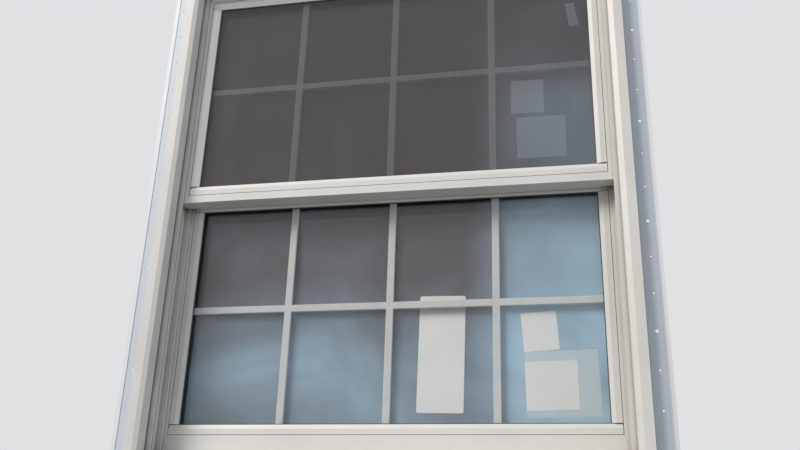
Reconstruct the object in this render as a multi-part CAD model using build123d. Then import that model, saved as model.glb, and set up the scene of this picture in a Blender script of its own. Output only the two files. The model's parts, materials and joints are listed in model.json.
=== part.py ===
"""Double-hung sash window with nailing fins, without the wall: one STEP file per piece.

Millimetres. Seen from outdoors +X is to the right, outdoors is towards -Y and +Z is up.
The origin is the centre of the frame in the plane of the nailing fins' back faces.
The upper sash hangs in the outer track and the lower sash in the inner one.

Sections are drawn in two coordinates: x is the distance in from the member's own outer
edge, and y is the depth, which grows towards the room. Each member is extruded along z and
cut to its mitres before it is set in its place.
"""
import os
from math import cos, radians, sin

from build123d import *

os.makedirs("parts", exist_ok=True)

# Frame: outer size, depths measured from the fins' back faces, face sizes of the section.
frame_w = 1054.0
frame_h = 1206.0
wall = 1.8
front_stand = 30.0
front_flat = 19.0
front_bevel = 4.0
nick = 1.0
face = 30.0
groove_y = 3.0
groove_w = 5.0
groove_deep = 4.0
lip_t = 4.0
lip_face = 41.0
track_w = 37.0
parting_t = 7.0
stop_face = 43.0
back_leg_t = 5.0
slot_w = 11.0
outer_track_y = groove_y + groove_w + lip_t
parting_y = outer_track_y + track_w
inner_track_y = parting_y + parting_t
back_leg_y = inner_track_y + track_w
frame_back = back_leg_y + back_leg_t
outer_slot_y = outer_track_y + track_w / 2
inner_slot_y = inner_track_y + track_w / 2

# Nailing fin and its two sizes of nail hole, every third hole being a large one.
fin_w = 44.5
fin_t = 1.6
fin_edge_t = 1.1
fin_rib_in = 33.0
fin_rib_w = 2.0
fin_rib_h = 0.9
nail_line = 20.5
nail_pitch = 76.8
nail_small_r = 2.1
nail_large_r = 3.4
left_first_nail = 47.7
left_first_large = 2
right_first_nail = 29.7
right_first_large = 0
long_first_large = 0

# Sill: lower in front than the jambs, with a gutter, a sloped floor and two weep slots.
sill_flat = 14.0
sill_front_face = 22.0
gutter_face = 20.0
sill_mid_face = 24.0
sill_seat_face = 26.0
sill_play = 2.0
weep_x = 300.0
weep_len = 32.0
weep_h = 5.0
weep_face = 5.0

# Insulating glass: two panes, a spacer and flat bars between them.
pane_t = 3.0
pane_y = 7.0
cavity = 13.0
inner_pane_y = pane_y + pane_t + cavity
glass_back = inner_pane_y + pane_t
glass_bite = 16.0
spacer_inset = 1.5
spacer_h = 8.0
bar_w = 16.0
bar_t = 6.0
bar_chamfer = 1.2
bar_front = 2.0
bar_rise = 8.0
block_len = 80.0
block_x = 235.0

# Sashes: outer size, section and the faces of their four rails.
sash_gap = 2.0
sash_w = frame_w - 2 * (face + sash_gap)
sash_t = 35.0
stile_face = 19.0
head_rail_face = 21.5
meeting_face = 18.0
bottom_rail_face = 43.5
bead_w = 22.0
glaze_leg_y = glass_back
meeting_overlap = 35.0
rails_h = head_rail_face + 2 * meeting_face + bottom_rail_face + 4 * bead_w
sashes_h = frame_h - face - sash_gap - sill_seat_face - sill_play + meeting_overlap
sight_h = (sashes_h - rails_h) / 2
sight_w = sash_w - 2 * (stile_face + bead_w)
glass_w = sight_w + 2 * glass_bite
glass_h = sight_h + 2 * glass_bite
bar_pitch = (sight_w + bar_w) / 4
upper_front = outer_track_y + (track_w - sash_t) / 2
lower_front = inner_track_y + (track_w - sash_t) / 2
upper_top = frame_h / 2 - face - sash_gap
upper_h = head_rail_face + meeting_face + 2 * bead_w + sight_h
upper_bottom = upper_top - upper_h
lower_bottom = -frame_h / 2 + sill_seat_face + sill_play
lower_h = bottom_rail_face + meeting_face + 2 * bead_w + sight_h
lower_top = lower_bottom + lower_h

# Meeting rails: the two interlocking hooks.
hook_t = 1.8
hook_end = 34.0
hook_half = sash_w / 2 - hook_end
upper_hook_out = 6.0
upper_hook_h = 14.5
lower_hook_out = 7.1
lower_hook_h = 24.0
hook_lip_t = 1.6

# Finger lift on the room side of the lower sash's bottom rail.
lift_end = 95.0
lift_half = sash_w / 2 - lift_end
lift_out = 11.0
lift_t = 3.0
lift_lip_t = 2.5
lift_lip_h = 6.0

# Beads, snapped in from outdoors.
bead_gap = 1.0
bead_inset = 0.2
bead_flat = 13.0
bead_edge_y = 3.0
gasket_w = 2.0
gasket_t = 1.5
tongue_y = 1.5
tongue_t = 1.8
tongue_deep = 3.0
tongue_play = 0.2

# Seals.
pile_in = 3.0
pile_w = 4.0
pile_deep = 2.2
pile_proud = 0.8
pile_end = 2.0
bulb_w = 7.0
bulb_h = 1.6
bulb_end = 20.0
bulb_cut = 1.2

# Tilt latches in the top rail of each sash.
latch_h = 10.0
latch_w = 9.0
latch_in = 4.0
latch_play = 0.3
latch_reach = 9.0
latch_len = 72.0
latch_travel = 10.0
button_len = 12.0
button_w = 6.0
button_from = 36.0
button_h = 1.5
button_play = 0.5
button_root = 1.0
nose_cut = 3.0
ridge_cut = 1.0
mid_sash = sash_t / 2

# Pivot bars, shoes and block-and-tackle balances in the jamb pockets.
pivot_h = 6.0
pivot_w = 9.0
pivot_up = 11.0
pivot_in = 26.0
pivot_reach = 25.0
shoe_face_out = 4.0
shoe_face_in = 27.6
shoe_w = 32.0
shoe_h = 40.0
shoe_cut = 3.0
balance_out = 6.0
balance_d = 14.0
balance_w = 18.0
balance_t = 1.0
balance_len = 300.0
pulley_block_h = 16.0
cord_r = 1.2
cord_face = 13.0
clip_t = 1.8
clip_h = 26.0
clip_w = 14.0
clip_arm_h = 4.0
clip_screw_up = 15.6
clip_screw_len = 3.4
lower_clip_down = 336.0
upper_clip_down = 86.0
screw_play = 0.1

# Stops above the lower sash, which end its travel.
stop_h = 71.0
stop_block_face = 42.0
stop_block_in = 0.5

# How far a cutter runs past the face that it opens.
past = 1.0

# Flat sides of the small repeated rounds, which keep the facets few.
hole_sides = 8
screw_sides = 10
pulley_sides = 12

# Cam locks on the lower sash and keepers on the upper sash.
lock_x = 230.0
lock_in = 8.0
lock_y = lower_front + lock_in
lock_plate_len = 66.0
lock_plate_w = 15.0
lock_plate_t = 3.0
lock_boss_r = 7.0
lock_boss_h = 9.0
shaft_r = 4.0
shaft_play = 0.05
shaft_end = 1.0
cam_low = 10.0
cam_t = 3.0
cam_r = 22.5
cam_rim = 2.0
cam_rim_h = 4.0
cam_half_angle = 34.0
cam_rest_angle = 10.0
lever_len = 38.0
lever_w = 9.0
lever_t = 4.5
keeper_half = 22.0
keeper_t = 2.0
keeper_h = 15.0
keeper_rim_r = 19.3
keeper_rim_t = 1.8
keeper_rim_low = 4.0
keeper_rim_angle = 26.0
keeper_over = 1.3
screw_r = 1.7
screw_head_r = 3.0
screw_head_h = 1.3
screw_len = 9.0
lock_screw_x = 26.0
keeper_screw_x = 17.0
keeper_screw_in = 3.3
keeper_in = 0.5
screw_head_cut = 0.5

# Paper labels on the room side of the inner panes: width, height, centre in from the right
# edge of the sight opening, centre up from its bottom edge, turn.
label_t = 0.2
lower_label_sizes = [(100.0, 252.5, 341.6, 151.7, 1.0), (74.5, 84.0, 134.1, 194.2, -4.0),
                     (107.5, 101.5, 113.1, 80.3, -1.0)]
lower_backing_sizes = [(150.0, 138.5, 91.6, 85.2, -1.0)]
upper_label_sizes = [(75.0, 86.0, 144.6, 190.0, 0.5), (109.0, 102.5, 115.9, 85.7, 0.0),
                     (22.5, 64.5, 36.6, 400.8, -8.0)]


def patch(x0, x1, y0, y1):
    """A rectangle of a section between two distances in and two depths."""
    return Location(((x0 + x1) / 2, (y0 + y1) / 2)) * Rectangle(x1 - x0, y1 - y0)


def outline(*points):
    """A face of a section from its corner points."""
    return make_face(Polyline(*points, close=True))


def block(x0, x1, y0, y1, z0, z1):
    """A box between two limits on each axis."""
    return Location(((x0 + x1) / 2, (y0 + y1) / 2, (z0 + z1) / 2)) * Box(x1 - x0, y1 - y0, z1 - z0)


def sided(radius, length, sides, hole=False):
    """A small round with flat sides, centred on z. A hole's flats lie outside its radius."""
    return extrude(RegularPolygon(radius, sides, major_radius=not hole), amount=length / 2, both=True)


def both(left):
    """A piece and its mirror image on the other side of the window."""
    return left, mirror(left, about=Plane.YZ)


def group(pieces):
    """Separate like pieces kept under one name."""
    return Compound(children=list(pieces))


def save(shape, name):
    """Write one piece, or one group of like pieces, to its file."""
    export_step(shape, f"parts/{name}.step")


def mitred(section, length, start, end):
    """Extrude a section along z and cut both its ends to their mitres.

    Start and end list a mitre's points, outer edge first: the distance in and the distance
    from that end of the bar.
    """
    over = max(0.0, -start[0][0])
    bar = Location((0, 0, -over)) * extrude(section, amount=length + 2 * over)
    corners = start + [(x, length - z) for x, z in reversed(end)]
    depth = frame_back + front_stand
    side = Plane(origin=(0, 0, 0), x_dir=(1, 0, 0), z_dir=(0, -1, 0))
    keep = extrude(side * make_face(Polyline(*corners, close=True)), amount=2 * depth, both=True)
    return bar & keep


def left_of(width, bottom):
    """Place a section on the left edge of a rectangle, running up."""
    return Plane(origin=(-width / 2, 0, bottom), x_dir=(1, 0, 0), z_dir=(0, 0, 1))


def top_of(width, top):
    """Place a section on the top edge of a rectangle, running to the right."""
    return Plane(origin=(-width / 2, 0, top), x_dir=(0, 0, -1), z_dir=(1, 0, 0))


def bottom_of(width, bottom):
    """Place a section on the bottom edge of a rectangle, running to the left."""
    return Plane(origin=(width / 2, 0, bottom), x_dir=(0, 0, 1), z_dir=(-1, 0, 0))


def fin_section():
    """The nailing fin: a flat strip, a rib along it and a thinner outer edge."""
    strip = patch(-fin_rib_in, wall, -fin_t, 0)
    rib = patch(-fin_rib_in - fin_rib_w, -fin_rib_in, -fin_t - fin_rib_h, 0)
    edge = patch(-fin_w, -fin_rib_in - fin_rib_w, -fin_edge_t, 0)
    return strip + rib + edge


def front_box(flat, inner):
    """The part of the frame that stands in front of the sashes, with its bevelled corner."""
    box = patch(0, inner, -front_stand, groove_y)
    bevel = outline((flat, -front_stand), (inner - nick, -front_stand + front_bevel),
                    (inner - 2 * nick, -front_stand + front_bevel + nick),
                    (inner, -front_stand + front_bevel + 2 * nick), (inner + wall, -front_stand))
    return box - bevel


def front_chambers(flat, inner):
    """The two hollows inside the front box."""
    web = flat - wall
    first = patch(wall, web, -front_stand + wall, groove_y - wall)
    second = patch(web + wall, inner - wall, -front_stand + front_bevel + 3 * wall, groove_y - wall)
    return first + second


def jamb_section():
    """The jamb and head extrusion: front box, seal groove, lip, two tracks and their pockets."""
    solid = front_box(front_flat, face) + patch(0, face, groove_y, frame_back) + fin_section()
    solid += patch(face, lip_face, outer_track_y - lip_t, outer_track_y)
    solid += patch(face, stop_face, parting_y, inner_track_y)
    solid += patch(face, stop_face, back_leg_y, frame_back)
    solid -= patch(face - groove_deep, face, groove_y, groove_y + groove_w)
    solid -= front_chambers(front_flat, face)
    solid -= patch(wall, face - groove_deep - wall, groove_y, outer_track_y)
    solid -= patch(wall, stop_face - wall, parting_y + wall, inner_track_y - wall)
    solid -= patch(wall, face - wall, back_leg_y, frame_back - wall)
    for track_y, slot_y in ((outer_track_y, outer_slot_y), (inner_track_y, inner_slot_y)):
        solid -= patch(wall, face - wall, track_y + wall, track_y + track_w - wall)
        solid -= patch(face - wall, face, slot_y - slot_w / 2, slot_y + slot_w / 2)
    return solid


def sill_outline():
    """The sill without its hollows: low front box, sloped floor and the room-side leg."""
    floor = outline((0, groove_y), (gutter_face, groove_y), (sill_mid_face, parting_y),
                    (sill_seat_face, inner_track_y), (sill_seat_face, back_leg_y), (0, back_leg_y))
    leg = patch(0, stop_face, back_leg_y, frame_back)
    return front_box(sill_flat, sill_front_face) + floor + leg + fin_section()


def sill_section():
    """The sill extrusion with its gutter and chambers."""
    gutter = outline((wall, groove_y), (gutter_face - 2 * wall, groove_y),
                     (sill_mid_face - 2 * wall, parting_y - wall), (wall, parting_y - wall))
    seat = patch(wall, sill_seat_face - wall, inner_track_y, back_leg_y - wall)
    return sill_outline() - front_chambers(sill_flat, sill_front_face) - gutter - seat


def sash_section(rail_face):
    """A sash extrusion: two chambers, the bead's slot and the hollow room-side glazing leg."""
    leg = rail_face + bead_w
    solid = patch(0, rail_face, 0, sash_t) + patch(rail_face, leg, glaze_leg_y, sash_t)
    behind_slot = tongue_y + tongue_t + 2 * tongue_play + wall
    hollow_in = rail_face - tongue_deep - wall
    hollow = patch(wall, hollow_in, wall, glaze_leg_y - wall)
    hollow += patch(wall, rail_face - wall, behind_slot, glaze_leg_y - wall)
    if rail_face > 2 * stile_face:
        hollow -= patch(rail_face / 2, rail_face / 2 + wall, 0, glaze_leg_y)
    solid -= hollow
    solid -= patch(wall, rail_face - wall, glaze_leg_y, sash_t - wall)
    solid -= patch(rail_face, leg - wall, glaze_leg_y + wall, sash_t - wall)
    solid -= patch(rail_face - tongue_deep, rail_face, tongue_y, tongue_y + tongue_t + 2 * tongue_play)
    return solid


def pile_slots():
    """The slots for the pile strips in the front and back of a stile."""
    front = patch(pile_in, pile_in + pile_w, 0, pile_deep)
    back = patch(pile_in, pile_in + pile_w, sash_t - pile_deep, sash_t)
    return front + back


def bead_section():
    """A glazing bead: flat front, chamfer down to the glass and a tongue for the slot."""
    face_part = outline((bead_gap, bead_inset), (bead_flat, bead_inset), (bead_w, bead_edge_y),
                        (bead_w, pane_y), (bead_gap, pane_y))
    tongue = patch(-tongue_deep + tongue_play, bead_gap, tongue_y + tongue_play,
                   tongue_y + tongue_play + tongue_t)
    return face_part + tongue


def nail_holes(first, length, first_large):
    """Nail holes along a fin that runs up z, as many as fit in its length, every third one large."""
    holes = []
    for number in range(int((length - first) / nail_pitch) + 1):
        spot = Location((-nail_line, -fin_t / 2, first + number * nail_pitch), (90, 0, 0))
        if number % 3 == first_large:
            holes.append(spot * Cylinder(nail_large_r, 4 * fin_t))
        else:
            holes.append(spot * sided(nail_small_r, 4 * fin_t, hole_sides, hole=True))
    return holes


# Frame: two jambs, head and sill, mitred right through the fins. The jambs' tracks stand on the sill.
square_mitre = [(-fin_w, -fin_w), (stop_face, stop_face)]
sill_mitre = [(-fin_w, -fin_w), (gutter_face, gutter_face), (stop_face, gutter_face)]
jamb_bar = mitred(jamb_section(), frame_h, sill_mitre, square_mitre)
head_bar = mitred(jamb_section(), frame_w, square_mitre, square_mitre)
sill_bar = mitred(sill_section(), frame_w, square_mitre, square_mitre)
long_first = (frame_w - int(frame_w / nail_pitch - 1) * nail_pitch) / 2
head_bar -= nail_holes(long_first, frame_w - long_first / 2, long_first_large)
sill_bar -= nail_holes(long_first, frame_w - long_first / 2, long_first_large)

clip_spots = []
for down, slot_y in ((lower_clip_down, inner_slot_y), (upper_clip_down, outer_slot_y)):
    clip_spots.append((frame_h - down, slot_y))
for up, slot_y in clip_spots:
    spot = Location((wall / 2, slot_y, up + clip_screw_up), (0, 90, 0))
    jamb_bar -= spot * sided(screw_r, 2 * wall, hole_sides, hole=True)

left_holes = nail_holes(left_first_nail, frame_h, left_first_large)
right_holes = nail_holes(right_first_nail, frame_h, right_first_large)
left_jamb = left_of(frame_w, -frame_h / 2) * (jamb_bar - left_holes)
right_jamb = left_of(frame_w, -frame_h / 2) * (jamb_bar - right_holes)
for weep in (frame_w / 2 - weep_x, frame_w / 2 + weep_x):
    low, high = weep - weep_len / 2, weep + weep_len / 2
    sill_bar -= block(weep_face, weep_face + weep_h, -front_stand - past, groove_y + wall, low, high)
    sill_bar -= block(gutter_face - 3 * wall, gutter_face + past, groove_y + wall,
                      groove_y + 4 * wall, low, high)

sill_fill = bottom_of(frame_w, -frame_h / 2) * mitred(sill_outline(), frame_w, square_mitre,
                                                      square_mitre)
save(left_jamb - sill_fill, "frame_jamb_left")
save(mirror(right_jamb - sill_fill, about=Plane.YZ), "frame_jamb_right")
save(top_of(frame_w, frame_h / 2) * head_bar, "frame_head")
save(bottom_of(frame_w, -frame_h / 2) * sill_bar, "frame_sill")


def sash_mitre(own_face, other_face):
    """The mitre of two sash members, through the corners where their faces and legs end."""
    return [(0, 0), (own_face, other_face), (own_face + bead_w, other_face + bead_w)]


def sash_members(width, bottom, front, bottom_face, top_face):
    """The mitred members of a sash, without hooks or hardware: left stile, top and bottom."""
    height = bottom_face + top_face + 2 * bead_w + sight_h
    shift = Location((0, front, 0))
    stile = mitred(sash_section(stile_face) - pile_slots(), height, sash_mitre(stile_face, bottom_face),
                   sash_mitre(stile_face, top_face))
    top = mitred(sash_section(top_face), width, sash_mitre(top_face, stile_face),
                 sash_mitre(top_face, stile_face))
    low = mitred(sash_section(bottom_face), width, sash_mitre(bottom_face, stile_face),
                 sash_mitre(bottom_face, stile_face))
    return (shift * (left_of(width, bottom) * stile), shift * (top_of(width, bottom + height) * top),
            shift * (bottom_of(width, bottom) * low))


def latch_cuts(front, top):
    """The room that a tilt latch needs in the left end of a top rail and its stile."""
    edge = -sash_w / 2
    middle = front + mid_sash
    bolt = block(edge - past, edge + latch_len + latch_travel + past, middle - latch_w / 2 - latch_play,
                 middle + latch_w / 2 + latch_play, top - latch_in - latch_h - latch_play,
                 top - latch_in + latch_play)
    slot = block(edge + button_from - button_play,
                 edge + button_from + button_len + latch_travel + button_play,
                 middle - button_w / 2 - latch_play, middle + button_w / 2 + latch_play,
                 top - latch_in - button_root, top + past)
    return bolt + slot


def latch(front, top):
    """A tilt latch: a bolt with a sloped nose and a ribbed thumb button on top."""
    edge = -sash_w / 2
    middle = front + mid_sash
    bolt = block(edge - latch_reach, edge + latch_len - latch_reach, middle - latch_w / 2,
                 middle + latch_w / 2, top - latch_in - latch_h, top - latch_in)
    nose = bolt.edges().filter_by(Axis.Y).group_by(Axis.X)[0]
    bolt = chamfer(nose, nose_cut)
    button = block(edge + button_from, edge + button_from + button_len, middle - button_w / 2,
                   middle + button_w / 2, top - latch_in - button_root, top + button_h)
    ridge = chamfer(button.edges().filter_by(Axis.Y).group_by(Axis.Z)[-1], ridge_cut)
    return bolt + ridge


def pivot_bar(front, bottom, play=0.0):
    """The bar at a bottom corner that carries the sash on its balance shoe."""
    edge = -sash_w / 2
    middle = front + mid_sash
    return block(edge - pivot_reach, edge + pivot_in, middle - pivot_w / 2 - play,
                 middle + pivot_w / 2 + play, bottom + pivot_up - play, bottom + pivot_up + pivot_h + play)


def balance_shoe(front, bottom):
    """The nylon shoe in the jamb pocket, with rounded ends and a socket for the pivot bar."""
    middle = front + mid_sash
    x_out = -frame_w / 2 + shoe_face_out
    x_in = -frame_w / 2 + shoe_face_in
    body = block(x_out, x_in, middle - shoe_w / 2, middle + shoe_w / 2, bottom, bottom + shoe_h)
    body = chamfer(body.edges().filter_by(Axis.X), shoe_cut)
    return body - pivot_bar(front, bottom, tongue_play)


def balance(front, bottom):
    """A balance: a steel channel over the shoe and a pulley block in its top end."""
    middle = front + mid_sash
    low = bottom + shoe_h
    x_out = -frame_w / 2 + balance_out
    x_in = x_out + balance_d
    half = balance_w / 2
    channel = block(x_out, x_in, middle - half, middle + half, low, low + balance_len)
    channel -= block(x_out + balance_t, x_in + past, middle - half + balance_t,
                     middle + half - balance_t, low - past, low + balance_len + past)
    top_block = block(x_out + balance_t, x_in, middle - half + balance_t, middle + half - balance_t,
                      low + balance_len - pulley_block_h, low + balance_len)
    pulley = Location((x_out + balance_d / 2, middle, low + balance_len - pulley_block_h),
                      (90, 0, 0)) * sided(balance_d / 2 - balance_t, balance_w - 2 * balance_t,
                                          pulley_sides)
    return channel + top_block + pulley


def balance_cord(slot_y, low, high):
    """The cord from the top of a balance to its clip on the jamb."""
    spot = Location((-frame_w / 2 + cord_face, slot_y, (low + high) / 2))
    return spot * sided(cord_r, high - low, hole_sides)


def cord_clip(up, slot_y):
    """A clip screwed to the back of a jamb pocket, with an arm that holds the cord's end."""
    back = -frame_w / 2 + wall
    low = -frame_h / 2 + up
    half = clip_w / 2
    plate = block(back, back + clip_t, slot_y - half, slot_y + half, low, low + clip_h)
    arm = block(back + clip_t, -frame_w / 2 + cord_face + 2 * cord_r, slot_y - half / 2,
                slot_y + half / 2, low, low + clip_arm_h)
    spot = Location((back, slot_y, low + clip_screw_up), (0, 90, 0))
    return plate + arm - spot * sided(screw_r, 4 * clip_t, hole_sides, hole=True)


def screw(length):
    """A pan-head screw that points down -z from the face under its head."""
    shank = Location((0, 0, -length / 2)) * sided(screw_r - screw_play, length, screw_sides)
    head = Location((0, 0, screw_head_h / 2)) * sided(screw_head_r, screw_head_h, screw_sides)
    head = chamfer(head.edges().group_by(Axis.Z)[-1], screw_head_cut)
    return shank + head


def pile_strips(front, bottom, height, bottom_face, top_face):
    """Two pile strips on a stile, clear of its mitres and proud of its front and back faces."""
    edge = -sash_w / 2
    inner = pile_in + pile_w
    low = bottom + inner * bottom_face / stile_face + pile_end
    high = bottom + height - inner * top_face / stile_face - pile_end
    x0, x1 = edge + pile_in, edge + inner
    outer = block(x0, x1, front - pile_proud, front + pile_deep, low, high)
    room = block(x0, x1, front + sash_t - pile_deep, front + sash_t + pile_proud, low, high)
    return outer, room


def glass_unit(front, sight_bottom):
    """The two panes, the spacer and the bars of one sash."""
    middle = sight_bottom + sight_h / 2
    low, high = middle - glass_h / 2, middle + glass_h / 2
    half = glass_w / 2
    outer = block(-half, half, front + pane_y, front + pane_y + pane_t, low, high)
    inner = block(-half, half, front + inner_pane_y, front + glass_back, low, high)
    gap_y0, gap_y1 = front + pane_y + pane_t, front + inner_pane_y
    rim = half - spacer_inset
    tube = block(-rim, rim, gap_y0, gap_y1, low + spacer_inset, high - spacer_inset)
    tube -= block(-rim + spacer_h, rim - spacer_h, gap_y0 - past, gap_y1 + past,
                  low + spacer_inset + spacer_h, high - spacer_inset - spacer_h)
    bar_mid = gap_y0 + bar_front + bar_t / 2
    bar_face = Rectangle(bar_w, bar_t)
    bar_face = chamfer(bar_face.vertices(), bar_chamfer)
    inside_w = 2 * (rim - spacer_h)
    inside_h = glass_h - 2 * (spacer_inset + spacer_h)
    upright = Location((0, bar_mid, middle - inside_h / 2)) * extrude(bar_face, amount=inside_h)
    cross_plane = Plane(origin=(-inside_w / 2, bar_mid, middle + bar_rise), x_dir=(0, 0, -1),
                        z_dir=(1, 0, 0))
    bars = cross_plane * extrude(bar_face, amount=inside_w)
    for number in (-1, 0, 1):
        bars += Location((number * bar_pitch, 0, 0)) * upright
    return outer, inner, tube, bars


def beads(front, sight_bottom):
    """Four beads: the level ones run right across and the upright ones fit between them."""
    line_w = sight_w + 2 * bead_w
    line_h = sight_h + 2 * bead_w
    low = sight_bottom - bead_w
    section = bead_section()
    level = extrude(section, amount=line_w - 2 * bead_gap)
    upright = extrude(section, amount=line_h - 2 * (bead_w + bead_gap))
    shift = Location((0, front, 0))
    left = shift * (Plane(origin=(-line_w / 2, 0, low + bead_w + bead_gap), x_dir=(1, 0, 0),
                          z_dir=(0, 0, 1)) * upright)
    top = shift * (Plane(origin=(-line_w / 2 + bead_gap, 0, low + line_h), x_dir=(0, 0, -1),
                         z_dir=(1, 0, 0)) * level)
    bottom = shift * (Plane(origin=(line_w / 2 - bead_gap, 0, low), x_dir=(0, 0, 1),
                            z_dir=(-1, 0, 0)) * level)
    return left, mirror(left, about=Plane.YZ), top, bottom


def gasket(front, sight_bottom):
    """The rubber seal on the outer pane, round the inner edges of the beads."""
    half = sight_w / 2
    y0, y1 = front + pane_y - gasket_t, front + pane_y
    ring = block(-half, half, y0, y1, sight_bottom, sight_bottom + sight_h)
    return ring - block(-half + gasket_w, half - gasket_w, y0 - past, y1 + past,
                        sight_bottom + gasket_w, sight_bottom + sight_h - gasket_w)


def setting_blocks(front, sight_bottom):
    """Two blocks under the glass."""
    floor = sight_bottom - bead_w
    y0, y1 = front + pane_y, front + glass_back
    top = sight_bottom - glass_bite
    return [block(x - block_len / 2, x + block_len / 2, y0, y1, floor, top) for x in (-block_x, block_x)]


def labels(front, sight_bottom, sizes, behind=0.0):
    """Plain paper labels on the room side of the inner pane, or on other labels there."""
    depth = front + glass_back + behind + label_t / 2
    made = []
    for width, height, inward, up, turn in sizes:
        spot = Location((sight_w / 2 - inward, depth, sight_bottom + up), (0, turn, 0))
        made.append(spot * Box(width, label_t, height))
    return made


def save_sash(name, front, bottom, bottom_face, top_face, names, hooks):
    """Cut and save the pieces that both sashes have."""
    left, top_rail, low_rail = sash_members(sash_w, bottom, front, bottom_face, top_face)
    height = bottom_face + top_face + 2 * bead_w + sight_h
    top = bottom + height
    cuts = latch_cuts(front, top)
    pivot = pivot_bar(front, bottom, tongue_play)
    left = left - cuts - pivot
    for cut in both(cuts):
        top_rail -= cut
    for cut in both(pivot):
        low_rail -= cut
    top_name, low_name = names
    rails = {top_name: top_rail, low_name: low_rail}
    for rail_name, extra in hooks.items():
        rails[rail_name] = rails[rail_name] + extra
    save(left, f"{name}_left_stile")
    save(mirror(left, about=Plane.YZ), f"{name}_right_stile")
    sight_bottom = bottom + bottom_face + bead_w
    outer, inner, tube, bars = glass_unit(front, sight_bottom)
    save(outer, f"{name}_outer_pane")
    save(inner, f"{name}_inner_pane")
    save(tube, f"{name}_spacer")
    save(bars, f"{name}_grille")
    for side, bead in zip(("left", "right", "top", "bottom"), beads(front, sight_bottom)):
        save(bead, f"{name}_bead_{side}")
    save(gasket(front, sight_bottom), f"{name}_glazing_gasket")
    save(group(setting_blocks(front, sight_bottom)), f"{name}_setting_blocks")
    strips = []
    for strip in pile_strips(front, bottom, height, bottom_face, top_face):
        strips += both(strip)
    save(group(strips), f"{name}_pile_strips")
    save(group(both(pivot_bar(front, bottom))), f"{name}_pivot_bars")
    save(group(both(balance_shoe(front, bottom))), f"{name}_balance_shoes")
    save(group(both(balance(front, bottom))), f"{name}_balances")
    catch = latch(front, top)
    save(catch, f"{name}_left_latch")
    save(mirror(catch, about=Plane.YZ), f"{name}_right_latch")
    return rails


# Upper sash. Its meeting rail has a hook that turns up behind the lower sash's hook.
shelf_y = upper_front + sash_t
upper_hook = block(-hook_half, hook_half, shelf_y - wall, shelf_y + upper_hook_out, upper_bottom,
                   upper_bottom + hook_t)
upper_hook += block(-hook_half, hook_half, shelf_y + upper_hook_out - hook_lip_t,
                    shelf_y + upper_hook_out, upper_bottom, upper_bottom + upper_hook_h)
upper_rails = save_sash("upper", upper_front, upper_bottom, meeting_face, head_rail_face,
                        ("upper_top_rail", "upper_meeting_rail"), {"upper_meeting_rail": upper_hook})
ledge_z = upper_bottom + meeting_face + bead_w

# Lower sash. Its meeting rail has a hook that turns down, its bottom rail a finger lift.
hook_y = lower_front - lower_hook_out
lower_hook = block(-hook_half, hook_half, hook_y, lower_front + wall, lower_top - hook_t, lower_top)
lower_hook += block(-hook_half, hook_half, hook_y, hook_y + hook_lip_t, lower_top - lower_hook_h,
                    lower_top)
lift_z = lower_bottom + bottom_rail_face
lift_y = lower_front + sash_t
lift = block(-lift_half, lift_half, lift_y - wall, lift_y + lift_out, lift_z, lift_z + lift_t)
lift += block(-lift_half, lift_half, lift_y + lift_out - lift_lip_t, lift_y + lift_out,
              lift_z - lift_lip_h, lift_z)
lower_rails = save_sash("lower", lower_front, lower_bottom, bottom_rail_face, meeting_face,
                        ("lower_meeting_rail", "lower_bottom_rail"),
                        {"lower_meeting_rail": lower_hook, "lower_bottom_rail": lift})

# Cam locks and keepers, with their screws and pilot holes.
for side in (-lock_x, lock_x):
    for offset in (-lock_screw_x, lock_screw_x):
        spot = Location((side + offset, lock_y, lower_top))
        lower_rails["lower_meeting_rail"] -= spot * sided(screw_r, 2 * screw_len, hole_sides, hole=True)
    for offset in (-keeper_screw_x, keeper_screw_x):
        spot = Location((side + offset, shelf_y - keeper_screw_in, ledge_z))
        upper_rails["upper_meeting_rail"] -= spot * sided(screw_r, 2 * screw_len, hole_sides, hole=True)
for rail_name, rail in {**upper_rails, **lower_rails}.items():
    save(rail, rail_name)


def lock_base(x):
    """The fixed half of a cam lock: a round-ended plate with a boss for the shaft."""
    plate = Location((x, lock_y, lower_top)) * extrude(SlotOverall(lock_plate_len, lock_plate_w),
                                                       amount=lock_plate_t)
    boss = Location((x, lock_y, lower_top + lock_boss_h / 2)) * Cylinder(lock_boss_r, lock_boss_h)
    bore = Location((x, lock_y, lower_top + lock_boss_h / 2)) * Cylinder(shaft_r + shaft_play,
                                                                        2 * lock_boss_h)
    base = plate + boss - bore
    for offset in (-lock_screw_x, lock_screw_x):
        spot = Location((x + offset, lock_y, lower_top))
        base -= spot * sided(screw_r, 4 * lock_plate_t, hole_sides, hole=True)
    return base


def sector(radius, half_angle):
    """A sector of a disc about the x direction."""
    start = (radius * cos(radians(half_angle)), -radius * sin(radians(half_angle)))
    end = (start[0], -start[1])
    edge = ThreePointArc(start, (radius, 0), end)
    return make_face(edge + Line(end, (0, 0)) + Line((0, 0), start))


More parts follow.
